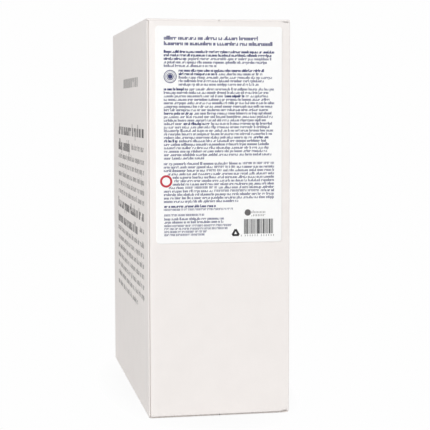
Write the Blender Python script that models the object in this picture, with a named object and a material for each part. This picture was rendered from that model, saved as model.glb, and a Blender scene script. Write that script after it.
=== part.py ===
# Refill carton: a closed box of white corrugated board that holds a bag of dish soap, with a paper label.
# Metres, +Z up, origin in the middle of the bottom.
# -Y is the narrow front with the label, and -X the broad side with the print.
# +Y is the narrow back with the tap opening.

import bmesh
import bpy
from math import acos, atan2, ceil, cos, pi, sin
from mathutils import Matrix, Vector

# Closed carton, outside
carton_width = 0.094
carton_depth = 0.207
carton_height = 0.260

# Board: two liners with the flutes between them
board = 0.0013
liner = 0.0003
flute_recess = 0.0004  # how far the flutes lie behind a raw edge
fold_radius = 0.0012  # outer radius of every fold but the glue tab's
fold_segments = 5

# How the blank closes
top_setback = 0.0003  # raw ends of the outer flaps, behind the narrow faces
bottom_setback = 0.0015
seam_gap = 0.0010  # between the two outer flaps, top and bottom
joint_setback = 0.0013  # raw edge of the front panel, in from the corner
tab_fold_radius = 0.0004  # fold of the glue tab, which stands proud of the tab beside that edge
tab_fold_depth = 0.0004  # its crest, behind the front face
slot_reach = 0.0014  # end of the slot between two flaps, along the panel
slot_depth = 0.0009  # the same slot, down into the panel
slot_slope = 0.0028  # run of the fold as it dips towards the slot
slot_cut = 0.0010  # how far the slots show in the narrow faces

# Perforated tap opening in the narrow back: a circle that the tap comes out through,
# and a throat below it that the tap's collar slides down into
throat_radius = 0.0135
throat_foot = 0.0175  # lowest point of the throat, above the bottom
throat_length = 0.029  # from the throat's centre up to the circle's
circle_margin = 0.0095  # the circle's radius over the throat's
thumb_radius = 0.009  # half-moon to press in first, inside the top of the circle
thumb_opening = 0.12  # part of a half turn left out at each of its ends
cut_length = 0.0040
nick_length = 0.0012
cut_width = 0.0004
cut_depth = 0.0008

# Paper label on the narrow front
label_height = 0.140
label_side_margin = 0.0055
label_top_margin = 0.0048
label_radius = 0.002
label_paper = 0.00015
label_segments = 6
glue_gap = 0.0003

# Finishes: colour, roughness
board_finish = ((0.875, 0.835, 0.812, 1.0), 0.72)
label_finish = ((0.955, 0.955, 0.950, 1.0), 0.42)

overshoot = 0.004  # how far a cutter runs past the surface it opens
weld_distance = 0.00001


def clear_scene():
    for item in list(bpy.data.objects):
        bpy.data.objects.remove(item, do_unlink=True)


def add_collection(name):
    collection = bpy.data.collections.new(name)
    bpy.context.scene.collection.children.link(collection)
    return collection


def add_material(name, finish):
    colour, roughness = finish
    material = bpy.data.materials.new(name)
    material.use_nodes = True
    shader = material.node_tree.nodes["Principled BSDF"]
    shader.inputs["Base Color"].default_value = colour
    shader.inputs["Roughness"].default_value = roughness
    shader.inputs["Metallic"].default_value = 0.0
    return material


# A frame whose first two axes are given: an outline drawn in x and y is set along them
def frame_at(origin, first, second):
    first = Vector(first)
    second = Vector(second)
    frame = Matrix((first, second, first.cross(second))).transposed().to_4x4()
    frame.translation = Vector(origin)
    return frame


# A flat closed outline, extruded to a thickness that is centred on its plane
def add_plate(name, outline, thickness, frame, collection):
    curve = bpy.data.curves.new(name + "_outline", "CURVE")
    curve.dimensions = "2D"
    curve.fill_mode = "BOTH"
    curve.extrude = thickness / 2
    spline = curve.splines.new("POLY")
    spline.points.add(len(outline) - 1)
    for point, (x, y) in zip(spline.points, outline):
        point.co = (x, y, 0.0, 1.0)
    spline.use_cyclic_u = True
    drawn = bpy.data.objects.new(name + "_outline", curve)
    collection.objects.link(drawn)
    drawn.matrix_world = frame
    bpy.context.view_layer.update()
    evaluated = drawn.evaluated_get(bpy.context.evaluated_depsgraph_get())
    mesh = bpy.data.meshes.new_from_object(evaluated)
    plate = bpy.data.objects.new(name, mesh)
    plate.matrix_world = drawn.matrix_world.copy()
    collection.objects.link(plate)
    bpy.data.objects.remove(drawn, do_unlink=True)
    weld = bmesh.new()
    weld.from_mesh(mesh)
    bmesh.ops.remove_doubles(weld, verts=weld.verts, dist=weld_distance)
    bmesh.ops.recalc_face_normals(weld, faces=weld.faces)
    weld.to_mesh(mesh)
    weld.free()
    return plate


# All the cutters at once, so that their shared planes meet cleanly
def cut_with(target, cutters):
    for cutter in cutters.objects:
        cutter.hide_render = True
        cutter.display_type = "WIRE"
    boolean = target.modifiers.new("cuts_of_the_blank", "BOOLEAN")
    boolean.operation = "DIFFERENCE"
    boolean.solver = "EXACT"
    boolean.operand_type = "COLLECTION"
    boolean.collection = cutters


def arc(centre, radius, start, end, segments):
    steps = [start + (end - start) * step / segments for step in range(segments + 1)]
    return [(centre[0] + radius * cos(turn), centre[1] + radius * sin(turn)) for turn in steps]


# Upright folds and the folds of the outer flaps, but not the corner where the blank is glued
def is_fold(edge):
    first, second = (vert.co for vert in edge.verts)
    upright = abs(first.y - second.y) < weld_distance
    at_joint = upright and first.x < 0 and first.y < 0
    return abs(first.x - second.x) < weld_distance and not at_joint


# Four walls with rounded folds, and rounded folds where the broad sides turn into the outer flaps
def add_carton_block(collection):
    mesh = bpy.data.meshes.new("carton")
    block = bmesh.new()
    bmesh.ops.create_cube(block, size=1.0)
    size = (carton_width, carton_depth, carton_height)
    bmesh.ops.scale(block, vec=size, verts=block.verts)
    bmesh.ops.translate(block, vec=(0.0, 0.0, carton_height / 2), verts=block.verts)
    bmesh.ops.bevel(
        block,
        geom=[edge for edge in block.edges if is_fold(edge)],
        offset=fold_radius,
        segments=fold_segments,
        profile=0.5,
        affect="EDGES",
        clamp_overlap=True,
    )
    block.to_mesh(mesh)
    block.free()
    carton = bpy.data.objects.new("carton", mesh)
    collection.objects.link(carton)
    return carton


# Section above a board's cut edge: x runs along the board from the corner, y into its thickness.
# Both liners show, with the flutes a little behind them.
def cut_edge_section(setback):
    return [
        (-overshoot, -overshoot),
        (setback, -overshoot),
        (setback, liner),
        (setback + flute_recess, liner),
        (setback + flute_recess, board - liner),
        (setback, board - liner),
        (setback, board),
    ]


# The outer flaps end beside each narrow face, over the fold of the inner flap
def add_flap_end_cutters(cutters):
    fold = arc((fold_radius, board + fold_radius), fold_radius, -pi / 2, -pi, fold_segments)
    fold.append((-overshoot, board + fold_radius))
    for end, level, height, setback in (
        ("bottom", 1, 0.0, bottom_setback),
        ("top", -1, carton_height, top_setback),
    ):
        for side in (-1, 1):
            corner = (0.0, side * carton_depth / 2, height)
            frame = frame_at(corner, (0, -side, 0), (0, 0, level))
            name = f"flap_end_{'back' if side > 0 else 'front'}_{end}"
            add_plate(name, cut_edge_section(setback) + fold, carton_width + 2 * overshoot, frame, cutters)


# The front panel is glued over a tab folded from the broad side. The tab's fold stands proud beside
# the panel's cut edge, with a groove between them.
def add_glue_joint_cutter(cutters):
    radius = tab_fold_radius
    section = cut_edge_section(joint_setback)
    section.append((2 * radius, board))
    section += arc((radius, tab_fold_depth + radius), radius, 0.0, -pi, 2 * fold_segments)
    section.append((-overshoot, tab_fold_depth + radius))
    corner = (-carton_width / 2, -carton_depth / 2, carton_height / 2)
    frame = frame_at(corner, (1, 0, 0), (0, 1, 0))
    add_plate("glue_joint", section, carton_height + 2 * overshoot, frame, cutters)


# The slots between the flaps end a little past the folds, and the fold dips towards them
def add_corner_slot_cutters(cutters):
    bottom = board + slot_depth
    section = [
        (-overshoot, 0.0),
        (slot_reach + slot_slope, 0.0),
        (slot_reach + slot_slope, board),
        (slot_reach, bottom),
        (-overshoot, bottom),
    ]
    for side in (-1, 1):
        for end in (-1, 1):
            for level, height in ((1, 0.0), (-1, carton_height)):
                corner = (side * carton_width / 2, end * carton_depth / 2, height)
                frame = frame_at(corner, (-side, 0, 0), (0, 0, level))
                place = f"{'right' if side > 0 else 'left'}_{'back' if end > 0 else 'front'}"
                name = f"slot_{place}_{'bottom' if level > 0 else 'top'}"
                add_plate(name, section, 2 * slot_cut, frame, cutters)


# The outer flaps meet along the middle of the top and of the bottom
def add_seam_cutters(cutters):
    section = [
        (-seam_gap / 2, -overshoot),
        (seam_gap / 2, -overshoot),
        (seam_gap / 2, board),
        (-seam_gap / 2, board),
    ]
    for name, level, height in (("seam_bottom", 1, 0.0), ("seam_top", -1, carton_height)):
        frame = frame_at((0.0, 0.0, height), (1, 0, 0), (0, 0, level))
        length = carton_depth + 2 * overshoot
        add_plate(name, section, length, frame, cutters)


# Circle with a throat below it, as a line that starts and ends at the top of the circle,
# and the half-moon that hangs from there
def tap_opening_lines():
    throat_centre = (0.0, throat_foot + throat_radius)
    circle_centre = (0.0, throat_foot + throat_radius + throat_length)
    circle_radius = throat_radius + circle_margin
    circle_top = (0.0, circle_centre[1] + circle_radius)
    shoulder = acos(throat_radius / circle_radius)
    segments = 2 * ceil(pi * circle_radius / cut_length)
    opening = arc(circle_centre, circle_radius, pi / 2, -shoulder, segments)
    opening += arc(throat_centre, throat_radius, 0.0, -pi, segments)
    opening += arc(circle_centre, circle_radius, shoulder - pi, -3 * pi / 2, segments)
    thumb = arc(circle_top, thumb_radius, -pi * (1 - thumb_opening), -pi * thumb_opening, segments)
    return opening, thumb


def lengths_along(line):
    lengths = [0.0]
    for (x0, y0), (x1, y1) in zip(line, line[1:]):
        lengths.append(lengths[-1] + ((x1 - x0) ** 2 + (y1 - y0) ** 2) ** 0.5)
    return lengths


def point_at(line, lengths, distance):
    for number in range(1, len(line)):
        if distance <= lengths[number]:
            break
    start = Vector(line[number - 1])
    end = Vector(line[number])
    share = (distance - lengths[number - 1]) / (lengths[number] - lengths[number - 1])
    return start.lerp(end, min(share, 1.0))


# Short slits along a line, with a nick of whole board between each two
def add_slits(slits, line):
    lengths = lengths_along(line)
    count = max(1, round(lengths[-1] / (cut_length + nick_length)))
    pitch = lengths[-1] / count
    for number in range(count):
        start = point_at(line, lengths, number * pitch + nick_length / 2)
        end = point_at(line, lengths, (number + 1) * pitch - nick_length / 2)
        run = end - start
        slit = bmesh.ops.create_cube(slits, size=1.0)["verts"]
        bmesh.ops.scale(slits, vec=(run.length, 2 * cut_depth, cut_width), verts=slit)
        turn = Matrix.Rotation(-atan2(run.y, run.x), 3, "Y")
        bmesh.ops.rotate(slits, matrix=turn, verts=slit)
        middle = (start + end) / 2
        bmesh.ops.translate(slits, vec=(middle.x, carton_depth / 2, middle.y), verts=slit)


def add_tap_opening_cutter(cutters):
    mesh = bpy.data.meshes.new("tap_perforation")
    slits = bmesh.new()
    for line in tap_opening_lines():
        add_slits(slits, line)
    slits.to_mesh(mesh)
    slits.free()
    perforation = bpy.data.objects.new("tap_perforation", mesh)
    cutters.objects.link(perforation)


# Rounded rectangle about the origin
def rounded_rectangle(width, height, radius, segments):
    outline = []
    for quarter, (across, up) in enumerate(((1, 1), (-1, 1), (-1, -1), (1, -1))):
        centre = (across * (width / 2 - radius), up * (height / 2 - radius))
        outline += arc(centre, radius, quarter * pi / 2, (quarter + 1) * pi / 2, segments)
    return outline


def add_label(collection):
    width = carton_width - 2 * label_side_margin
    outline = rounded_rectangle(width, label_height, label_radius, label_segments)
    face = -carton_depth / 2 - glue_gap - label_paper / 2
    middle = carton_height - label_top_margin - label_height / 2
    frame = frame_at((0.0, face, middle), (1, 0, 0), (0, 0, 1))
    return add_plate("label", outline, label_paper, frame, collection)


def build():
    clear_scene()
    parts = add_collection("soap_refill_carton")
    cutters = add_collection("carton_cutters")

    add_flap_end_cutters(cutters)
    add_glue_joint_cutter(cutters)
    add_corner_slot_cutters(cutters)
    add_seam_cutters(cutters)
    add_tap_opening_cutter(cutters)

    carton = add_carton_block(parts)
    cut_with(carton, cutters)
    carton.data.materials.append(add_material("white_board", board_finish))

    label = add_label(parts)
    label.data.materials.append(add_material("label_paper", label_finish))


build()
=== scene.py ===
import random
from math import acos, atan2, ceil, cos, hypot, pi, radians, sin, sqrt

import bmesh
import bpy
from mathutils import Matrix, Vector


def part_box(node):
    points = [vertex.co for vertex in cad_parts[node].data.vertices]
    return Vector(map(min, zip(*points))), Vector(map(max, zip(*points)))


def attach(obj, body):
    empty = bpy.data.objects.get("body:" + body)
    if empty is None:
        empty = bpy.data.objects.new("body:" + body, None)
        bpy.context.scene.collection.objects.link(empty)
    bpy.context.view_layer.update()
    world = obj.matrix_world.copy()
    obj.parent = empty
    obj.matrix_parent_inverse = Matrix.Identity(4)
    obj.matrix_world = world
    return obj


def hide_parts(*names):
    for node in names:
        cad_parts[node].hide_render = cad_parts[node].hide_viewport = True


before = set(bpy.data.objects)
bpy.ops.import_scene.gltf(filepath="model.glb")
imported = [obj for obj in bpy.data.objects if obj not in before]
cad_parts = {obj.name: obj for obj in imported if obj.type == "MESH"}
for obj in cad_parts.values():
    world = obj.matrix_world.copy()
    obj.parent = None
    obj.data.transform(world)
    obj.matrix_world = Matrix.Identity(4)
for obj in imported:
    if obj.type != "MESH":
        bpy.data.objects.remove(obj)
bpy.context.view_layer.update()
print("frame loaded:", sorted(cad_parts))

# Refill carton: one folded blank of white board, a paper label and the print on both.
# Metres, +Z up. -Y is the narrow front with the label, -X the broad side with the print.

cartonLow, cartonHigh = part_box("carton")
labelLow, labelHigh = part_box("label")
halfWidth = (cartonHigh.x - cartonLow.x) / 2
halfDepth = (cartonHigh.y - cartonLow.y) / 2
height = cartonHigh.z
tiny = 0.00001


# Small helpers

def vertsOf(geom):
    return [item for item in geom if isinstance(item, bmesh.types.BMVert)]


def edgesOf(geom):
    return [item for item in geom if isinstance(item, bmesh.types.BMEdge)]


def addObject(name, data):
    item = bpy.data.objects.new(name, data)
    bpy.context.scene.collection.objects.link(item)
    return item


def meshFrom(shape, name):
    mesh = bpy.data.meshes.new(name)
    shape.to_mesh(mesh)
    shape.free()
    return mesh


def finishPiece(name, shape, material, replaced=None, smoothAngle=40):
    mesh = meshFrom(shape, name)
    mesh.shade_smooth()
    mesh.set_sharp_from_angle(angle=radians(smoothAngle))
    mesh.materials.clear()
    mesh.materials.append(material)
    piece = addObject(name, mesh)
    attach(piece, "root")
    if replaced:
        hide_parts(replaced)
    print(name, len(mesh.polygons), "faces")


# Materials

def addNode(tree, kind, place, **settings):
    node = tree.nodes.new(kind)
    node.location = place
    for key, value in settings.items():
        setattr(node, key, value)
    return node


def newMaterial(name, colour, roughness):
    material = bpy.data.materials.new(name)
    material.use_nodes = True
    shader = material.node_tree.nodes["Principled BSDF"]
    shader.inputs["Base Color"].default_value = (*colour, 1.0)
    shader.inputs["Roughness"].default_value = roughness
    shader.inputs["Metallic"].default_value = 0.0
    return material, material.node_tree, shader


def noiseAt(tree, vector, scale, detail, place):
    noise = addNode(tree, "ShaderNodeTexNoise", place)
    noise.inputs["Scale"].default_value = scale
    noise.inputs["Detail"].default_value = detail
    tree.links.new(vector, noise.inputs["Vector"])
    return noise.outputs["Fac"]


noiseMiddle = (0.3, 0.7)    # most of a noise texture's values lie between these


def rangeTo(tree, value, low, high, place, reach=noiseMiddle):
    ranger = addNode(tree, "ShaderNodeMapRange", place)
    ranger.inputs["From Min"].default_value = reach[0]
    ranger.inputs["From Max"].default_value = reach[1]
    ranger.inputs["To Min"].default_value = low
    ranger.inputs["To Max"].default_value = high
    tree.links.new(value, ranger.inputs["Value"])
    return ranger.outputs["Result"]


def tintBetween(tree, factor, tints, place):
    ramp = addNode(tree, "ShaderNodeValToRGB", place)
    for element, tint, position in zip(ramp.color_ramp.elements, tints, noiseMiddle):
        element.color = (*tint, 1.0)
        element.position = position
    tree.links.new(factor, ramp.inputs["Fac"])
    return ramp.outputs["Color"]


def bumpFrom(tree, value, distance, strength, place, below=None):
    bump = addNode(tree, "ShaderNodeBump", place)
    bump.inputs["Distance"].default_value = distance
    bump.inputs["Strength"].default_value = strength
    tree.links.new(value, bump.inputs["Height"])
    if below:
        tree.links.new(below, bump.inputs["Normal"])
    return bump.outputs["Normal"]


# Soft blotches in the colour, and a fine grain in the roughness and the bump
def mottle(tree, shader, look, tints, below=None):
    place = addNode(tree, "ShaderNodeTexCoord", (-1500, 200)).outputs["Object"]
    blotches = noiseAt(tree, place, look["blotches"], look["blotchDetail"], (-1200, 300))
    tree.links.new(tintBetween(tree, blotches, tints, (-900, 300)), shader.inputs["Base Color"])
    grain = noiseAt(tree, place, look["grain"], look["grainDetail"], (-1200, 0))
    rough = rangeTo(tree, grain, look["roughLow"], look["roughHigh"], (-900, 0))
    tree.links.new(rough, shader.inputs["Roughness"])
    bump = bumpFrom(tree, grain, look["grainRise"], look["grainStrength"], (-600, -250), below)
    tree.links.new(bump, shader.inputs["Normal"])


boardFinish = {
    "light": (0.882, 0.842, 0.819),
    "dark": (0.864, 0.824, 0.801),
    "blotches": 70.0,        # per metre, as the grain is
    "blotchDetail": 5.0,
    "grain": 1900.0,         # the fibres of the liner
    "grainDetail": 3.0,
    "grainRise": 0.00003,
    "grainStrength": 0.6,
    "fluteRun": 0.0027,      # from one flute to the next under the liner
    "fluteRise": 0.000012,
    "fluteStrength": 1.0,
    "fluteWander": 0.6,
    "fluteDetail": 1.0,
    "fluteDetailScale": 0.4,
    "roughLow": 0.66,
    "roughHigh": 0.80,
}
bandTurn = 20                # radians per metre of a wave texture's bands at a scale of 1


def boardMaterial():
    look = boardFinish
    material, tree, shader = newMaterial("whiteBoard", look["light"], look["roughHigh"])
    run = addNode(tree, "ShaderNodeUVMap", (-1500, -200), uv_map="alongBoard").outputs["UV"]
    flutes = addNode(tree, "ShaderNodeTexWave", (-1200, -250), wave_type="BANDS", bands_direction="X")
    flutes.inputs["Scale"].default_value = 2 * pi / (bandTurn * look["fluteRun"])
    flutes.inputs["Distortion"].default_value = look["fluteWander"]
    flutes.inputs["Detail"].default_value = look["fluteDetail"]
    flutes.inputs["Detail Scale"].default_value = look["fluteDetailScale"]
    tree.links.new(run, flutes.inputs["Vector"])
    heights = flutes.outputs["Fac"]
    washboard = bumpFrom(tree, heights, look["fluteRise"], look["fluteStrength"], (-900, -250))
    mottle(tree, shader, look, (look["dark"], look["light"]), washboard)
    return material


paperFinish = {
    "light": (0.962, 0.962, 0.957),
    "dark": (0.950, 0.950, 0.945),
    "blotches": 160.0,
    "blotchDetail": 4.0,
    "grain": 3800.0,
    "grainDetail": 3.0,
    "grainRise": 0.000008,
    "grainStrength": 0.5,
    "roughLow": 0.46,
    "roughHigh": 0.58,
}


def paperMaterial():
    look = paperFinish
    material, tree, shader = newMaterial("labelPaper", look["light"], look["roughLow"])
    mottle(tree, shader, look, (look["dark"], look["light"]))
    return material


inkFinish = {
    "blotches": 900.0,       # where the ink lies thinner
    "blotchDetail": 3.0,
    "thin": 1.25,            # how much lighter it is there
    "grain": 3800.0,
    "grainDetail": 2.0,
    "grainRise": 0.000006,
    "grainStrength": 0.5,
    "roughLow": 0.46,
    "roughHigh": 0.60,
}
inkColours = {
    "navyInk": (0.045, 0.05, 0.15),
    "blackInk": (0.012, 0.012, 0.014),
    "redInk": (0.48, 0.03, 0.05),
    "greyInk": (0.12, 0.115, 0.115),
}


def inkMaterial(name):
    look = inkFinish
    colour = inkColours[name]
    material, tree, shader = newMaterial(name, colour, look["roughHigh"])
    lighter = tuple(min(1.0, part * look["thin"]) for part in colour)
    mottle(tree, shader, look, (colour, lighter))
    return material


# Carton: the blank is pulled round the four walls as one sheet, folded at both ends, then thickened

carton = {
    "board": 0.0013,
    "liner": 0.0003,
    "fluteRecess": 0.0002,   # how far the flutes lie behind a cut edge
    "bottomRecess": 0.0010,  # the same where the carton's weight has crushed them
    "foldRadius": 0.0017,    # bend of the sheet, which shows at the bottom of the broad sides
    "tightRadius": 0.0004,   # what the outside of the other folds is drawn to
    "foldSteps": 12,
    "cell": 0.004,
    "leastCells": 3,         # a stretch shorter than these isn't divided
    "besideFold": 0.0004,    # first and last cell of a stretch
    "glueGap": 0.00003,      # between boards that are glued together
    "topSetback": 0.0003,    # ends of the outer flaps, behind the narrow faces
    "bottomSetback": 0.0014,
    "seamGap": 0.00025,
    "jointSetback": 0.0014,  # the front panel's cut edge, in from the corner
    "glueTab": 0.026,
    "tabRadius": 0.0003,
    "tabCrest": 0.0011,      # how far the glue tab's fold stands proud of the tab
    "crestEnd": 0.0007,
    "crestFall": 0.0002,
    "innerFlap": 0.045,
    "slotReach": 0.0014,
    "slotDepth": 0.00045,
    "slotSlope": 0.0028,
    "dipBelow": 1.1,         # how far past the fold it dips, in cells beside a fold
    "lying": 0.7,            # a face whose normal is at least this far upright lies flat
}
nextBoard = carton["board"] + carton["glueGap"]    # from a board's face to the next one's behind it


def evenCells(length):
    beside = carton["besideFold"]
    if length < carton["leastCells"] * carton["cell"]:
        return [length]
    count = max(1, round((length - 2 * beside) / carton["cell"]))
    return [beside] + [(length - 2 * beside) / count] * count + [beside]


def pullSheet(sheet, edges, way, length):
    for step in evenCells(length):
        geom = bmesh.ops.extrude_edge_only(sheet, edges=edges)["geom"]
        edges = edgesOf(geom)
        bmesh.ops.translate(sheet, vec=Vector(way) * step, verts=vertsOf(geom))
    return edges


def foldSheet(sheet, edges, centre, axis):
    verts = list({vert for edge in edges for vert in edge.verts})
    spun = bmesh.ops.spin(
        sheet,
        geom=verts + edges,
        cent=centre,
        axis=axis,
        angle=pi / 2,
        steps=carton["foldSteps"],
        use_duplicate=False,
    )
    return edgesOf(spun["geom_last"])


# Walls: from the front panel's cut edge round to the glue tab behind it
def pullWalls(sheet, low, high):
    radius = carton["foldRadius"]
    across = halfWidth - radius
    along = halfDepth - radius
    last = [sheet.verts.new((-halfWidth + carton["jointSetback"], -halfDepth, low))]
    for step in evenCells(high - low):
        last = bmesh.ops.extrude_vert_indiv(sheet, verts=last)["verts"]
        bmesh.ops.translate(sheet, vec=(0, 0, step), verts=last)
    front = 2 * halfWidth - radius - carton["jointSetback"]
    edges = pullSheet(sheet, list(sheet.edges), (1, 0, 0), front)
    turns = [
        ((across, -along, 0), (0, 1, 0), 2 * along),
        ((across, along, 0), (-1, 0, 0), 2 * across),
        ((-across, along, 0), (0, -1, 0), 2 * along - nextBoard),
        ((-across, nextBoard - along, 0), (1, 0, 0), carton["glueTab"]),
    ]
    for centre, way, length in turns:
        edges = foldSheet(sheet, edges, centre, (0, 0, 1))
        edges = pullSheet(sheet, edges, way, length)


def endEdges(sheet, level, test):
    found = []
    for edge in sheet.edges:
        first, second = (vert.co for vert in edge.verts)
        if abs(first.z - level) < tiny and abs(second.z - level) < tiny and test(first) and test(second):
            found.append(edge)
    return found


def onNarrowWall(co, side):
    return abs(co.y - side * halfDepth) < tiny and abs(co.x) < halfWidth - carton["jointSetback"] + tiny


def onBroadWall(co, side):
    return abs(co.x - side * halfWidth) < tiny


# Between two walls the sheet turns the corner: neither end of such an edge lets it lie on a wall
def foldedCorners(sheet, level):
    radius = carton["foldRadius"] + tiny

    def nearCorner(co):
        byTab = co.x < 0 and co.y < 0
        pastBroad = co.y < nextBoard + radius - halfDepth if byTab else abs(co.y) > halfDepth - radius
        onFront = byTab and co.y < -halfDepth + tiny
        return abs(co.x) > halfWidth - radius and pastBroad and not onFront

    return endEdges(sheet, level, nearCorner)


# Flaps at one end: up is 1 for the top and -1 for the bottom
def foldFlaps(sheet, level, up):
    radius = carton["foldRadius"]
    corners = foldedCorners(sheet, level)
    for side in (-1, 1):
        wall = endEdges(sheet, level, lambda co: onNarrowWall(co, side))
        wall = foldSheet(sheet, wall, (0, side * (halfDepth - radius), level), (side * up, 0, 0))
        pullSheet(sheet, wall, (0, -side, 0), carton["innerFlap"])
    pullSheet(sheet, corners, (0, 0, up), radius + carton["glueGap"] - carton["slotDepth"])
    for side in (-1, 1):
        wall = endEdges(sheet, level, lambda co: onBroadWall(co, side))
        before = set(sheet.verts)
        wall = pullSheet(sheet, wall, (0, 0, up), nextBoard)
        hinge = (side * (halfWidth - radius), 0, level + up * nextBoard)
        wall = foldSheet(sheet, wall, hinge, (0, -side * up, 0))
        pullSheet(sheet, wall, (-side, 0, 0), halfWidth - radius - carton["seamGap"] / 2)
        flap = [vert for vert in sheet.verts if vert not in before]
        widenFlap(flap, level + up * (nextBoard + tiny), up)


def flapEnd(nearTop):
    return halfDepth - (carton["topSetback"] if nearTop else carton["bottomSetback"])


# The outer flaps are as long as the carton less their setback, longer than the wall between its folds
def widenFlap(verts, level, up):
    ends = (min(vert.co.y for vert in verts), max(vert.co.y for vert in verts))
    for vert in verts:
        for end, place in zip(ends, (-1, 1)):
            if up * (vert.co.z - level) > 0 and abs(vert.co.y - end) < tiny:
                vert.co.y = place * flapEnd(up > 0)


# The fold of a narrow wall dips beside the slots at its corners, but not where the blank is glued
def dipFolds(sheet):
    radius = carton["foldRadius"]
    foldBase = nextBoard + radius + carton["dipBelow"] * carton["besideFold"]
    for vert in sheet.verts:
        fromEnd = min(vert.co.z, height - vert.co.z)
        fromCorner = halfWidth - abs(vert.co.x)
        underFlap = carton["board"] + tiny < fromEnd < foldBase
        besideSlot = carton["slotReach"] - tiny < fromCorner < carton["slotReach"] + carton["slotSlope"]
        cornerFold = fromCorner < radius - tiny and abs(vert.co.y) < halfDepth - tiny
        atJoint = vert.co.x < 0 and vert.co.y < 0
        if underFlap and besideSlot and not cornerFold and not atJoint and fromCorner > tiny:
            share = 1 - (fromCorner - carton["slotReach"]) / carton["slotSlope"]
            vert.co.z += carton["slotDepth"] * share * (1 if vert.co.z < height / 2 else -1)


# Thickness, with both liners showing at every cut edge and the flutes set back between them
def thickenSheet(sheet):
    bmesh.ops.recalc_face_normals(sheet, faces=sheet.faces)
    outside = set(sheet.faces)
    cuts = [edge for edge in sheet.edges if edge.is_boundary]
    bmesh.ops.solidify(sheet, geom=list(outside), thickness=carton["board"])
    if sheet.calc_volume(signed=True) < 0:
        bmesh.ops.reverse_faces(sheet, faces=sheet.faces)
    sheet.normal_update()
    ends = {face for edge in cuts for face in edge.link_faces if face not in outside}
    atBottom = {face for face in ends if face.calc_center_median().z < carton["board"]}
    for faces, recess in ((ends - atBottom, carton["fluteRecess"]), (atBottom, carton["bottomRecess"])):
        bmesh.ops.inset_region(
            sheet, faces=list(faces), thickness=carton["liner"], depth=-recess, use_even_offset=False
        )


# Perforated tap opening in the narrow back: a circle for the tap, and a throat below it for the tap's collar

tapOpening = {
    "throatRadius": 0.0135,
    "throatFoot": 0.0175,
    "throatLength": 0.029,
    "circleMargin": 0.0095,
    "thumbRadius": 0.009,
    "thumbOpening": 0.12,
    "cut": 0.0040,
    "nick": 0.0012,
    "cutWidth": 0.0004,
    "cutDepth": 0.0009,
}


def arcPoints(centre, radius, start, end, steps):
    turns = [start + (end - start) * step / steps for step in range(steps + 1)]
    return [Vector((centre[0] + radius * cos(turn), centre[1] + radius * sin(turn))) for turn in turns]


def tapOpeningLines():
    tap = tapOpening
    throat = (0.0, tap["throatFoot"] + tap["throatRadius"])
    circle = (0.0, throat[1] + tap["throatLength"])
    radius = tap["throatRadius"] + tap["circleMargin"]
    shoulder = acos(tap["throatRadius"] / radius)
    steps = 2 * ceil(pi * radius / tap["cut"])
    opening = arcPoints(circle, radius, pi / 2, -shoulder, steps)
    opening += arcPoints(throat, tap["throatRadius"], 0, -pi, steps)
    opening += arcPoints(circle, radius, shoulder - pi, -3 * pi / 2, steps)
    gap = pi * tap["thumbOpening"]
    thumb = arcPoints((0.0, circle[1] + radius), tap["thumbRadius"], gap - pi, -gap, steps)
    return opening, thumb


def pointAlong(line, distance):
    for first, second in zip(line, line[1:]):
        run = (second - first).length
        if distance <= run:
            break
        distance -= run
    return first.lerp(second, min(distance / run, 1.0))


def tapCuts():
    tap = tapOpening
    cuts = bmesh.new()
    for line in tapOpeningLines():
        total = sum((second - first).length for first, second in zip(line, line[1:]))
        count = round(total / (tap["cut"] + tap["nick"]))
        for number in range(count):
            start = pointAlong(line, number * total / count + tap["nick"] / 2)
            end = pointAlong(line, (number + 1) * total / count - tap["nick"] / 2)
            run = end - start
            size = Matrix.Diagonal((run.length, 2 * tap["cutDepth"], tap["cutWidth"], 1.0))
            turn = Matrix.Rotation(-atan2(run.y, run.x), 4, "Y")
            middle = (start + end) / 2
            place = Matrix.Translation((middle.x, halfDepth, middle.y))
            bmesh.ops.create_cube(cuts, size=1.0, matrix=place @ turn @ size)
    return meshFrom(cuts, "tapCuts")


def cutOut(mesh, cutterMesh):
    target = addObject("cutTarget", mesh)
    cutter = addObject("cutter", cutterMesh)
    boolean = target.modifiers.new("cut", "BOOLEAN")
    boolean.operation = "DIFFERENCE"
    boolean.solver = "EXACT"
    boolean.object = cutter
    bpy.context.view_layer.update()
    result = bpy.data.meshes.new_from_object(target.evaluated_get(bpy.context.evaluated_depsgraph_get()))
    bpy.data.objects.remove(target)
    bpy.data.objects.remove(cutter)
    return result


# A fold seen from outside: first and second are the distances from the two faces that meet there.
# The sheet's bend is drawn out, from its centre, to a rounded corner of a smaller radius.
def tightened(first, second, radius):
    bend = carton["foldRadius"]
    turn = atan2(bend - second, bend - first)
    across, along = cos(turn), sin(turn)
    wide, narrow = max(across, along), min(across, along)
    inset = bend - radius
    reach = bend / wide
    if narrow / wide * bend > inset:
        both = inset * (across + along)
        reach = both + sqrt(both ** 2 - 2 * inset ** 2 + radius ** 2)
    return bend - reach * across, bend - reach * along


def onBend(first, second):
    bend = carton["foldRadius"]
    inside = first < bend + tiny and second < bend + tiny
    return inside and abs(hypot(bend - first, bend - second) - bend) < tiny


# The glue tab's fold bulges forward beside the front panel's cut edge
def bulgedTab(fromSide, behindTab):
    fromSide, behindTab = tightened(fromSide, behindTab, carton["tabRadius"])
    share = 1 - smoothShare((fromSide - carton["crestEnd"]) / carton["crestFall"])
    return fromSide, behindTab - carton["tabCrest"] * share


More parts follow.
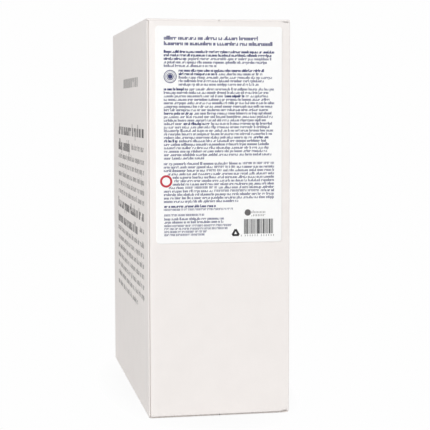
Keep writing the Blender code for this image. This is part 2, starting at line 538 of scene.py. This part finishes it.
def foldOutside(co):
    x, y, z = co
    sideways = 1 if x > 0 else -1
    forward = 1 if y > 0 else -1
    nearTop = z > height / 2
    radius = carton["tightRadius"]
    fromSide = halfWidth - abs(x)
    fromNarrow = halfDepth - abs(y)
    fromFlap = (height - z if nearTop else z) - nextBoard
    if fromFlap > -tiny and x < 0 and y < 0 and onBend(fromSide, fromNarrow - nextBoard):
        fromSide, behindTab = bulgedTab(fromSide, fromNarrow - nextBoard)
        return Vector((fromSide - halfWidth, behindTab + nextBoard - halfDepth, z))
    if fromFlap > -tiny and onBend(fromSide, fromNarrow):
        fromSide, fromNarrow = tightened(fromSide, fromNarrow, radius)
    elif fromSide > carton["jointSetback"] - tiny and onBend(fromNarrow, fromFlap):
        fromNarrow, fromFlap = tightened(fromNarrow, fromFlap, radius)
        z = height - nextBoard - fromFlap if nearTop else nextBoard + fromFlap
    elif nearTop and onBend(fromSide, height - z):
        fromSide, fromTop = tightened(fromSide, height - z, radius)
        z = height - fromTop
    return Vector((sideways * (halfWidth - fromSide), forward * (halfDepth - fromNarrow), z))


# How the filled carton stands: its broad sides belly out and its top sags at the seam.
# Cut edges are pressed down by the die.

stance = {
    "belly": 0.0012,
    "bellyPower": 8,         # a high power leaves the narrow sides flat
    "sag": 0.0004,
    "endRun": 0.006,         # how far down from the top the sag reaches
    "press": 0.00015,
    "pressRun": 0.0010,
}


def smoothShare(value):
    value = max(0.0, min(1.0, value))
    return value * value * (3 - 2 * value)


def settled(co):
    x, y, z = co
    across = min(abs(x) / halfWidth, 1.0)
    along = min(abs(y) / halfDepth, 1.0)
    level = 2 * z / height - 1
    belly = stance["belly"] * across ** stance["bellyPower"] * (1 - along ** 2) * (1 - level ** 2)
    top = smoothShare(1 - (height - z) / stance["endRun"])
    sag = stance["sag"] * top * (1 - across ** 2)
    return Vector((x + (belly if x > 0 else -belly), y, z - sag))


# The outer liner curls in at the front panel's cut edge and at the ends of the outer flaps
def pressedEdge(co):
    x, y, z = co
    board = carton["board"]
    nearFace = min(z, height - z)
    deep = 1 - min(1.0, (y + halfDepth) / board)
    fromJoint = x + halfWidth - carton["jointSetback"]
    if deep > 0 and -tiny < fromJoint < stance["pressRun"] and nearFace > board:
        y += stance["press"] * deep * (1 - fromJoint / stance["pressRun"]) ** 2
    fromFlapEnd = flapEnd(z > height / 2) - abs(y)
    if nearFace < board + tiny and -tiny < fromFlapEnd < stance["pressRun"]:
        shift = stance["press"] * (1 - nearFace / board) * (1 - fromFlapEnd / stance["pressRun"]) ** 2
        z += shift if z < height / 2 else -shift
    return Vector((x, y, z))


# Runs across the flutes: they stand upright in the walls and go on, square to the fold, into the flaps
def layAlongBoard(shape):
    layer = shape.loops.layers.uv.new("alongBoard")
    for face in shape.faces:
        middle = face.calc_center_median()
        flat = abs(face.normal.z) > carton["lying"]
        outerFlap = min(middle.z, height - middle.z) < carton["board"] + tiny
        broad = outerFlap if flat else abs(face.normal.x) > abs(face.normal.y)
        across, along = ("y", "x") if broad else ("x", "y")
        for corner in face.loops:
            co = corner.vert.co
            corner[layer].uv = (getattr(co, across), getattr(co, along) if flat else co.z)


def makeCarton():
    sheet = bmesh.new()
    level = nextBoard + carton["foldRadius"]
    pullWalls(sheet, level, height - level)
    foldFlaps(sheet, level, -1)
    foldFlaps(sheet, height - level, 1)
    dipFolds(sheet)
    thickenSheet(sheet)
    mesh = cutOut(meshFrom(sheet, "cartonSheet"), tapCuts())
    shape = bmesh.new()
    shape.from_mesh(mesh)
    for vert in shape.verts:
        vert.co = settled(pressedEdge(foldOutside(vert.co)))
    shape.normal_update()
    layAlongBoard(shape)
    finishPiece("cartonBoard", shape, boardMaterial(), "carton")


makeCarton()

# Label: smooth white paper with rounded corners, glued to the front

label = {
    "radius": 0.002,
    "cornerSteps": 8,
    "edge": 0.00004,         # rounding of the paper's cut edge
    "edgeSteps": 2,
    "smoothAngle": 15,
    "glue": 0.00002,
}


def makeLabel():
    shape = bmesh.new()
    bmesh.ops.create_grid(shape, x_segments=1, y_segments=1, size=0.5)
    bmesh.ops.scale(shape, vec=(labelHigh.x - labelLow.x, labelHigh.z - labelLow.z, 1), verts=shape.verts)
    bmesh.ops.bevel(
        shape,
        geom=list(shape.verts),
        offset=label["radius"],
        offset_type="OFFSET",
        affect="VERTICES",
        segments=label["cornerSteps"],
        profile=0.5,
        material=-1,
    )
    thickness = -halfDepth - label["glue"] - labelLow.y
    pushed = bmesh.ops.extrude_face_region(shape, geom=list(shape.faces))["geom"]
    bmesh.ops.translate(shape, vec=(0, 0, thickness), verts=vertsOf(pushed))
    bmesh.ops.recalc_face_normals(shape, faces=shape.faces)
    front = [edge for edge in shape.edges if all(vert.co.z > thickness / 2 for vert in edge.verts)]
    bmesh.ops.bevel(
        shape,
        geom=front,
        offset=label["edge"],
        affect="EDGES",
        segments=label["edgeSteps"],
        profile=0.5,
        material=-1,
    )
    upright = Matrix.Rotation(pi / 2, 4, "X")
    middle = ((labelLow.x + labelHigh.x) / 2, -halfDepth - label["glue"], (labelLow.z + labelHigh.z) / 2)
    bmesh.ops.transform(shape, matrix=Matrix.Translation(middle) @ upright, verts=shape.verts)
    finishPiece("labelPaper", shape, paperMaterial(), "label", label["smoothAngle"])


makeLabel()

# Print: rows of upright ticks in place of words, and plain shapes in place of marks. Sizes in millimetres.

mm = 0.001
ink = {"rise": 0.03, "sunk": 0.01}
seeds = {"label": 41, "code": 7, "side": 23}

labelFace = {
    "corner": Vector((labelLow.x, labelLow.y, labelHigh.z)),
    "right": Vector((1, 0, 0)),
    "up": Vector((0, 0, 1)),
    "settles": False,
}
# On the broad side, distances are from the front edge and from the top
broadFace = {
    "corner": Vector((-halfWidth, -halfDepth, height)),
    "right": Vector((0, -1, 0)),
    "up": Vector((0, 0, 1)),
    "settles": True,
}

# A tick is (across, foot, head), in heights of a small letter
ticks = [
    {"share": 4, "width": 0.42, "at": [(0.0, 0.0, 1.0)]},
    {"share": 3, "width": 0.42, "at": [(0.0, 0.0, 1.45)]},
    {"share": 7, "width": 0.92, "at": [(0.0, 0.0, 1.0), (0.50, 0.0, 1.0)]},
    {"share": 4, "width": 0.86, "at": [(0.0, 0.0, 1.0), (0.44, 0.60, 1.0)]},
    {"share": 4, "width": 0.90, "at": [(0.0, 0.0, 0.45), (0.48, 0.0, 1.0)]},
    {"share": 1, "width": 0.94, "at": [(0.0, 0.0, 1.45), (0.50, 0.0, 1.0)]},
    {"share": 1, "width": 0.94, "at": [(0.0, -0.42, 1.0), (0.50, 0.0, 1.0)]},
    {"share": 1, "width": 1.40, "at": [(0.0, 0.0, 1.0), (0.46, 0.0, 1.0), (0.92, 0.0, 1.0)]},
]
capitals = [
    {"share": 2, "width": 0.50, "at": [(0.0, 0.0, 1.4)]},
    {"share": 5, "width": 1.15, "at": [(0.0, 0.0, 1.4), (0.65, 0.0, 1.4)]},
    {"share": 3, "width": 1.05, "at": [(0.0, 0.0, 1.4), (0.55, 0.8, 1.4)]},
    {"share": 2, "width": 1.55, "at": [(0.0, 0.0, 1.4), (0.50, 0.0, 1.4), (1.0, 0.0, 1.4)]},
]

styles = {
    "heading": {"xHeight": 1.75, "stroke": 0.66, "space": 0.42, "marks": ticks},
    "strong": {"xHeight": 1.25, "stroke": 0.50, "space": 0.36, "marks": ticks},
    "plain": {"xHeight": 1.25, "stroke": 0.38, "space": 0.40, "marks": ticks},
    "capitals": {"xHeight": 1.05, "stroke": 0.32, "space": 0.55, "marks": capitals},
    "small": {"xHeight": 1.00, "stroke": 0.30, "space": 0.34, "marks": capitals},
    "digits": {"xHeight": 1.10, "stroke": 0.34, "space": 0.20, "marks": ticks[:1]},
    "sideTitle": {"xHeight": 5.8, "stroke": 1.95, "space": 0.55, "marks": ticks},
    "sideHeading": {"xHeight": 5.2, "stroke": 1.85, "space": 0.55, "marks": ticks},
    "sidePlain": {"xHeight": 3.0, "stroke": 0.62, "space": 0.80, "marks": ticks},
    "sideName": {"xHeight": 4.6, "stroke": 2.4, "space": 0.9, "marks": capitals},
}


# Which way is out of a face, and the turn that lays a shape on it
def faceTurn(face):
    out = face["right"].cross(face["up"])
    return out, Matrix((face["right"], face["up"], out)).transposed().to_4x4()


def printBar(shape, face, left, right, foot, head):
    size = Vector((right - left, head - foot, ink["rise"] + ink["sunk"])) * mm
    out, turn = faceTurn(face)
    middle = face["right"] * (left + right) / 2
    middle += face["up"] * (foot + head) / 2
    middle += out * (ink["rise"] - ink["sunk"]) / 2
    place = Matrix.Translation(face["corner"] + mm * middle) @ turn @ Matrix.Diagonal((*size, 1.0))
    bmesh.ops.create_cube(shape, size=1.0, matrix=place)


rowFill = {
    "fewest": 2,             # marks in a word
    "most": 9,
    "full": 0.97,            # no word starts past this share of the row
    "over": 1.04,            # one that passes this share gets the fewest marks instead
    "wordSpace": 1.3,        # between words, in the style's own spaces
    "between": 1.0,          # between stretches in two styles
    "shortest": 2.0,         # a shorter stretch is left bare
}


def drawMarks(chance, style, count):
    marks = style["marks"]
    return chance.choices(marks, weights=[mark["share"] for mark in marks], k=count)


def widthOf(word, xHeight):
    return sum(mark["width"] for mark in word) * xHeight


# One row: its words are spread so that it runs exactly from left to right
def printRow(whole, face, style, left, right, middle, chance, words=None):
    xHeight = style["xHeight"]
    gap = style["space"] * xHeight * rowFill["wordSpace"]
    run = right - left
    row = []
    total = 0.0
    while total < run * rowFill["full"] if words is None else len(row) < len(words):
        count = chance.randint(rowFill["fewest"], rowFill["most"]) if words is None else words[len(row)]
        word = drawMarks(chance, style, count)
        if words is None and total + widthOf(word, xHeight) > run * rowFill["over"]:
            word = drawMarks(chance, style, rowFill["fewest"])
        row.append((total, word))
        total += widthOf(word, xHeight) + gap
    stretch = run / (total - gap)
    base = -middle - xHeight / 2
    shape = bmesh.new()
    for at, word in row:
        for mark in word:
            for across, foot, head in mark["at"]:
                tickLeft = left + (at + across * xHeight) * stretch
                tickRight = tickLeft + style["stroke"]
                printBar(shape, face, tickLeft, tickRight, base + foot * xHeight, base + head * xHeight)
            at += mark["width"] * xHeight
    addTo(whole, shape, face)


def addTo(whole, shape, face):
    if face["settles"]:
        for vert in shape.verts:
            vert.co = settled(vert.co)
    mesh = meshFrom(shape, "printed")
    whole.from_mesh(mesh)
    bpy.data.meshes.remove(mesh)


# Rows of the label, from its left edge and down from its top: the first row's middle, the pitch, and each
# row's end. Some stretches are stronger or in capitals.
labelRows = [
    {
        "style": "heading",
        "first": 8.0,
        "pitch": 3.5,
        "left": 5.4,
        "ends": [67.0, 76.7],
        "words": [[6, 7, 3, 6, 2, 7, 8], [8, 2, 9, 2, 10, 3, 10]],
    },
    {
        "style": "plain",
        "first": 16.6,
        "pitch": 2.24,
        "left": 5.3,
        "ends": [77.8, 76.0, 76.0, 73.0, 39.7],
        "strong": {0: (5.3, 77.8), 1: (5.3, 76.0), 2: (5.3, 20.0)},
    },
    {
        "style": "plain",
        "first": 28.6,
        "pitch": 2.22,
        "left": 14.9,
        "ends": [71.0, 70.0, 76.5, 71.0, 67.5],
        "strong": {0: (14.9, 71.0), 1: (14.9, 40.0)},
    },
    {
        "style": "plain",
        "first": 40.55,
        "pitch": 2.22,
        "left": 5.2,
        "rows": 20,
        "ragged": (72.0, 78.0),
        "last": 31.5,
        "strong": {
            0: (5.2, 21.0),
            2: (45.0, 58.0),
            7: (5.2, 24.0),
            10: (18.0, 35.0),
            14: (64.0, 78.0),
            15: (5.2, 14.0),
        },
    },
    {
        "style": "plain",
        "first": 88.5,
        "pitch": 2.22,
        "left": 5.0,
        "rows": 11,
        "ragged": (77.9, 77.9),
        "last": 54.0,
        "indent": {3: 7.5, 4: 10.8, 5: 11.8, 6: 10.8, 7: 8.3},
        "capitals": {0: (57.0, 78.0), 1: (38.0, 52.0), 2: (33.0, 43.0), 7: (19.0, 40.0), 8: (38.0, 68.0)},
    },
    {"style": "strong", "first": 116.1, "pitch": 2.1, "left": 5.2, "ends": [39.0]},
    {"style": "small", "first": 118.2, "pitch": 2.1, "left": 4.9, "ends": [50.5]},
    {"style": "small", "first": 121.8, "pitch": 2.1, "left": 5.2, "ends": [31.4]},
    {"style": "plain", "first": 124.3, "pitch": 2.1, "left": 5.2, "ends": [44.5, 44.1]},
    {"style": "small", "first": 128.8, "pitch": 1.95, "left": 5.2, "ends": [49.6, 46.9, 33.2, 31.7]},
]


def rowEnds(block, chance):
    if "ends" in block:
        return block["ends"]
    low, high = block["ragged"]
    return [chance.uniform(low, high) for row in range(block["rows"])] + [block["last"]]


def printBlock(whole, face, block, chance):
    for number, end in enumerate(rowEnds(block, chance)):
        middle = block["first"] + number * block["pitch"]
        left = block.get("indent", {}).get(number, block["left"])
        parts = [(left, end, block["style"])]
        for special in ("strong", "capitals"):
            if number in block.get(special, {}):
                start, stop = block[special][number]
                before = (left, start - rowFill["between"], block["style"])
                after = (stop + rowFill["between"], end, block["style"])
                parts = [before, (max(start, left), min(stop, end), special), after]
        words = block["words"][number] if "words" in block else None
        for first, last, style in parts:
            if last - first > rowFill["shortest"]:
                printRow(whole, face, styles[style], first, last, middle, chance, words)


# A flat shape drawn about its own middle in millimetres, given the ink's thickness and set on a face.
# across and down are its middle, from the face's corner.
def inkShape(whole, drawn, face, across, down):
    flat = list(drawn.faces)
    bmesh.ops.recalc_face_normals(drawn, faces=flat)
    pushed = bmesh.ops.extrude_face_region(drawn, geom=flat)["geom"]
    bmesh.ops.translate(drawn, vec=(0, 0, ink["rise"] + ink["sunk"]), verts=vertsOf(pushed))
    bmesh.ops.recalc_face_normals(drawn, faces=drawn.faces)
    out, turn = faceTurn(face)
    middle = face["right"] * across - face["up"] * down - out * ink["sunk"]
    place = Matrix.Translation(face["corner"] + mm * middle) @ turn @ Matrix.Scale(mm, 4)
    bmesh.ops.transform(drawn, matrix=place, verts=drawn.verts)
    addTo(whole, drawn, face)


def disc(radius, segments):
    drawn = bmesh.new()
    bmesh.ops.create_circle(drawn, cap_ends=True, segments=segments, radius=radius)
    return drawn


def ring(outer, inner, segments):
    drawn = bmesh.new()
    bmesh.ops.create_circle(drawn, segments=segments, radius=outer)
    bmesh.ops.create_circle(drawn, segments=segments, radius=inner)
    bmesh.ops.bridge_loops(drawn, edges=drawn.edges)
    return drawn


# Bars set round a middle: each is put at the same place, then turned by its share of a full turn
def barsRound(count, middle, long, wide):
    drawn = bmesh.new()
    place = Matrix.Translation(middle)
    size = Matrix.Diagonal((long, wide, 1.0, 1.0))
    for number in range(count):
        turn = Matrix.Rotation(2 * pi * number / count, 4, "Z")
        bmesh.ops.create_grid(drawn, x_segments=1, y_segments=1, size=0.5, matrix=turn @ place @ size)
    return drawn


# Badge: two rings with short rays between them, and a disc in the middle
badge = {
    "across": 9.4,
    "down": 32.3,
    "rings": [
        {"outer": 4.2, "band": 0.48, "steps": 48},
        {"outer": 2.3, "band": 0.50, "steps": 32},
    ],
    "disc": 1.55,
    "discSteps": 24,
    "rays": 28,
    "rayFrom": 2.75,
    "rayTo": 3.45,
    "rayWidth": 0.30,
}


def addBadge(whole):
    long = badge["rayTo"] - badge["rayFrom"]
    parts = [ring(band["outer"], band["outer"] - band["band"], band["steps"]) for band in badge["rings"]]
    parts.append(disc(badge["disc"], badge["discSteps"]))
    parts.append(barsRound(badge["rays"], (badge["rayFrom"] + long / 2, 0, 0), long, badge["rayWidth"]))
    for part in parts:
        inkShape(whole, part, labelFace, badge["across"], badge["down"])


def makeLabelPrint():
    chance = random.Random(seeds["label"])
    whole = bmesh.new()
    for block in labelRows:
        printBlock(whole, labelFace, block, chance)
    addBadge(whole)
    finishPiece("labelPrint", whole, inkMaterial("navyInk"))


makeLabelPrint()

# Code block: bars with a row of short blocks below them
codeBlock = {
    "left": 57.8,
    "right": 77.6,
    "top": 124.9,
    "foot": 134.6,
    "bars": 25,
    "widths": (0.45, 0.6, 0.6, 0.85),    # shares of the pitch
    "digitLeft": 55.8,
    "digitRight": 79.1,
    "digitDown": 135.7,
    "digitWords": [1, 6, 6],
}


def addBars(whole, chance):
    shape = bmesh.new()
    pitch = (codeBlock["right"] - codeBlock["left"]) / codeBlock["bars"]
    for number in range(codeBlock["bars"]):
        left = codeBlock["left"] + number * pitch
        wide = pitch * chance.choice(codeBlock["widths"])
        printBar(shape, labelFace, left, left + wide, -codeBlock["foot"], -codeBlock["top"])
    addTo(whole, shape, labelFace)
    ends = (codeBlock["digitLeft"], codeBlock["digitRight"])
    down = codeBlock["digitDown"]
    printRow(whole, labelFace, styles["digits"], *ends, down, chance, codeBlock["digitWords"])


# Loop mark: a triangle of three bars with gaps at its corners
loopMark = {"across": 52.2, "down": 134.0, "sides": 3, "reach": 1.95, "bar": 1.35, "long": 4.3}


def addLoopMark(whole):
    middle = (0, -loopMark["reach"] + loopMark["bar"] / 2, 0)
    bars = barsRound(loopMark["sides"], middle, loopMark["long"], loopMark["bar"])
    inkShape(whole, bars, labelFace, loopMark["across"], loopMark["down"])


def makeCodePrint():
    whole = bmesh.new()
    addBars(whole, random.Random(seeds["code"]))
    addLoopMark(whole)
    finishPiece("codePrint", whole, inkMaterial("blackInk"))


makeCodePrint()

# A plain ring among the rows
redRing = {"across": 6.5, "down": 99.6, "outer": 4.0, "inner": 2.65, "steps": 48}


def makeRedRing():
    whole = bmesh.new()
    drawn = ring(redRing["outer"], redRing["inner"], redRing["steps"])
    inkShape(whole, drawn, labelFace, redRing["across"], redRing["down"])
    finishPiece("redRing", whole, inkMaterial("redInk"))


makeRedRing()

# Rows of the broad side, from its front edge and down from its top. They start at the back.
nameRow = {"far": 128.0, "near": 43.7, "down": 40.5, "words": [7]}
sideRows = [
    {"style": "sideTitle", "down": 74.0, "spans": [(164.0, 67.8), (64.0, 30.1), (25.3, 16.7)]},
    {"style": "sideTitle", "down": 85.6, "spans": [(164.6, 88.1)]},
    {"style": "sidePlain", "down": 84.8, "spans": [(78.5, 16.5)]},
    {"style": "sidePlain", "down": 93.2, "pitch": 6.7, "rows": 5, "spans": [(164.5, 15.5)]},
    {"style": "sideHeading", "down": 129.5, "spans": [(167.1, 46.2), (40.9, 17.1)]},
    {"style": "sideHeading", "down": 140.8, "spans": [(168.3, 47.2)]},
    {"style": "sidePlain", "down": 138.8, "spans": [(37.3, 17.2)]},
    {"style": "sidePlain", "down": 148.4, "pitch": 6.95, "rows": 6, "spans": [(169.5, 17.5)]},
    {"style": "sidePlain", "down": 190.6, "spans": [(172.2, 49.5)]},
]

# A plain disc and two short rows beside the code block
discMark = {"across": 60.3, "down": 120.6, "radius": 2.1, "steps": 32}
shortRows = {"left": 62.8, "right": 72.6, "downs": (120.5, 122.5), "words": [5]}


def makeGreyPrint():
    chance = random.Random(seeds["side"])
    whole = bmesh.new()
    ends = (-nameRow["far"], -nameRow["near"])
    printRow(whole, broadFace, styles["sideName"], *ends, nameRow["down"], chance, nameRow["words"])
    for block in sideRows:
        for number in range(block.get("rows", 1)):
            down = block["down"] + number * block.get("pitch", 0.0)
            for far, near in block["spans"]:
                printRow(whole, broadFace, styles[block["style"]], -far, -near, down, chance)
    for down in shortRows["downs"]:
        ends = (shortRows["left"], shortRows["right"])
        printRow(whole, labelFace, styles["plain"], *ends, down, chance, shortRows["words"])
    drawn = disc(discMark["radius"], discMark["steps"])
    inkShape(whole, drawn, labelFace, discMark["across"], discMark["down"])
    finishPiece("greyPrint", whole, inkMaterial("greyInk"))


makeGreyPrint()

# Camera: set back and to the left of the front, a little above the middle
camera = {
    "place": (-0.15394, -0.91921, 0.20279),
    "yaw": -10.489,
    "pitch": 4.790,
    "roll": -0.0974,
    "lens": 106.97,
    "sensor": 36.0,
    "nearest": 0.01,
}


def addCamera():
    data = bpy.data.cameras.new("camera")
    data.lens = camera["lens"]
    data.sensor_width = camera["sensor"]
    data.clip_start = camera["nearest"]
    item = addObject("camera", data)
    turn = Matrix.Rotation(radians(camera["yaw"]), 4, "Z")
    turn = turn @ Matrix.Rotation(radians(90 - camera["pitch"]), 4, "X")
    turn = turn @ Matrix.Rotation(radians(camera["roll"]), 4, "Z")
    item.matrix_world = Matrix.Translation(camera["place"]) @ turn
    bpy.context.scene.camera = item
    print("camera placed")


addCamera()

# Studio: white floor and surround, a soft key lamp in front and to the left, a weaker one behind
studio = {
    "white": 0.991,          # what the camera sees of the surround
    "ambient": 0.39,         # what lights the object from all round
    "floorTone": 0.84,
    "floorRough": 0.9,
    "shadowShare": 0.12,     # how much of the floor's own shading shows beside the object
    "shadowFrom": 1.0,       # it fades out between these distances, in half widths and half depths
    "shadowTo": 1.5,
    "floorSize": 12.0,
    "floorSteps": 64,
}
lamps = {
    "keyLamp": {"from": (-0.34, -0.55, 0.37), "distance": 4.4, "size": 2.6, "power": 133.0},
    "backLamp": {"from": (0.45, 0.70, 0.45), "distance": 2.4, "size": 1.6, "power": 15.0},
}


def addLamp(name, lamp):
    data = bpy.data.lights.new(name, "AREA")
    data.shape = "SQUARE"
    data.size = lamp["size"]
    data.energy = lamp["power"]
    middle = Vector((0, 0, height / 2))
    way = Vector(lamp["from"]).normalized()
    turn = way.to_track_quat("Z", "Y").to_matrix().to_4x4()
    addObject(name, data).matrix_world = Matrix.Translation(middle + way * lamp["distance"]) @ turn


def plainRays(tree, place):
    rays = addNode(tree, "ShaderNodeLightPath", place)
    either = addNode(tree, "ShaderNodeMath", (place[0] + 200, place[1]), operation="MAXIMUM")
    tree.links.new(rays.outputs["Is Camera Ray"], either.inputs[0])
    tree.links.new(rays.outputs["Is Transmission Ray"], either.inputs[1])
    return either.outputs[0]


def mixTo(tree, share, first, second, output):
    mixer = addNode(tree, "ShaderNodeMixShader", (300, 300))
    for number, source in enumerate((share, first.outputs[0], second.outputs[0])):
        tree.links.new(source, mixer.inputs[number])
    tree.links.new(mixer.outputs[0], tree.nodes[output].inputs["Surface"])


def addFloor():
    mesh = meshFrom(disc(studio["floorSize"] / 2, studio["floorSteps"]), "studioFloor")
    floorPiece = addObject("studioFloor", mesh)
    tone = (studio["floorTone"],) * 3
    material, tree, shader = newMaterial("studioFloor", tone, studio["floorRough"])
    shader.inputs["Specular IOR Level"].default_value = 0.0
    glow = addNode(tree, "ShaderNodeEmission", (0, 300))
    glow.inputs["Color"].default_value = (studio["white"],) * 3 + (1.0,)
    place = addNode(tree, "ShaderNodeTexCoord", (-1100, 100)).outputs["Object"]
    shares = addNode(tree, "ShaderNodeVectorMath", (-1000, 100), operation="DIVIDE")
    shares.inputs[1].default_value = (halfWidth, halfDepth, 1.0)
    tree.links.new(place, shares.inputs[0])
    away = addNode(tree, "ShaderNodeVectorMath", (-800, 100), operation="LENGTH")
    tree.links.new(shares.outputs["Vector"], away.inputs[0])
    reach = (studio["shadowFrom"], studio["shadowTo"])
    hidden = rangeTo(tree, away.outputs["Value"], 1 - studio["shadowShare"], 1.0, (-600, 100), reach)
    share = addNode(tree, "ShaderNodeMath", (-100, 500), operation="MULTIPLY")
    tree.links.new(plainRays(tree, (-600, 500)), share.inputs[0])
    tree.links.new(hidden, share.inputs[1])
    mixTo(tree, share.outputs[0], shader, glow, "Material Output")
    mesh.materials.append(material)


def addWorld():
    world = bpy.data.worlds.new("studio")
    world.use_nodes = True
    bpy.context.scene.world = world
    tree = world.node_tree
    ambient = tree.nodes["Background"]
    ambient.inputs["Color"].default_value = (1.0, 1.0, 1.0, 1.0)
    ambient.inputs["Strength"].default_value = studio["ambient"]
    surround = addNode(tree, "ShaderNodeBackground", (0, 0))
    surround.inputs["Color"].default_value = (studio["white"],) * 3 + (1.0,)
    mixTo(tree, plainRays(tree, (-400, 400)), ambient, surround, "World Output")


addFloor()
addWorld()
for lampName, lampSettings in lamps.items():
    addLamp(lampName, lampSettings)
bpy.context.scene.view_settings.view_transform = "Standard"
print("studio lit")
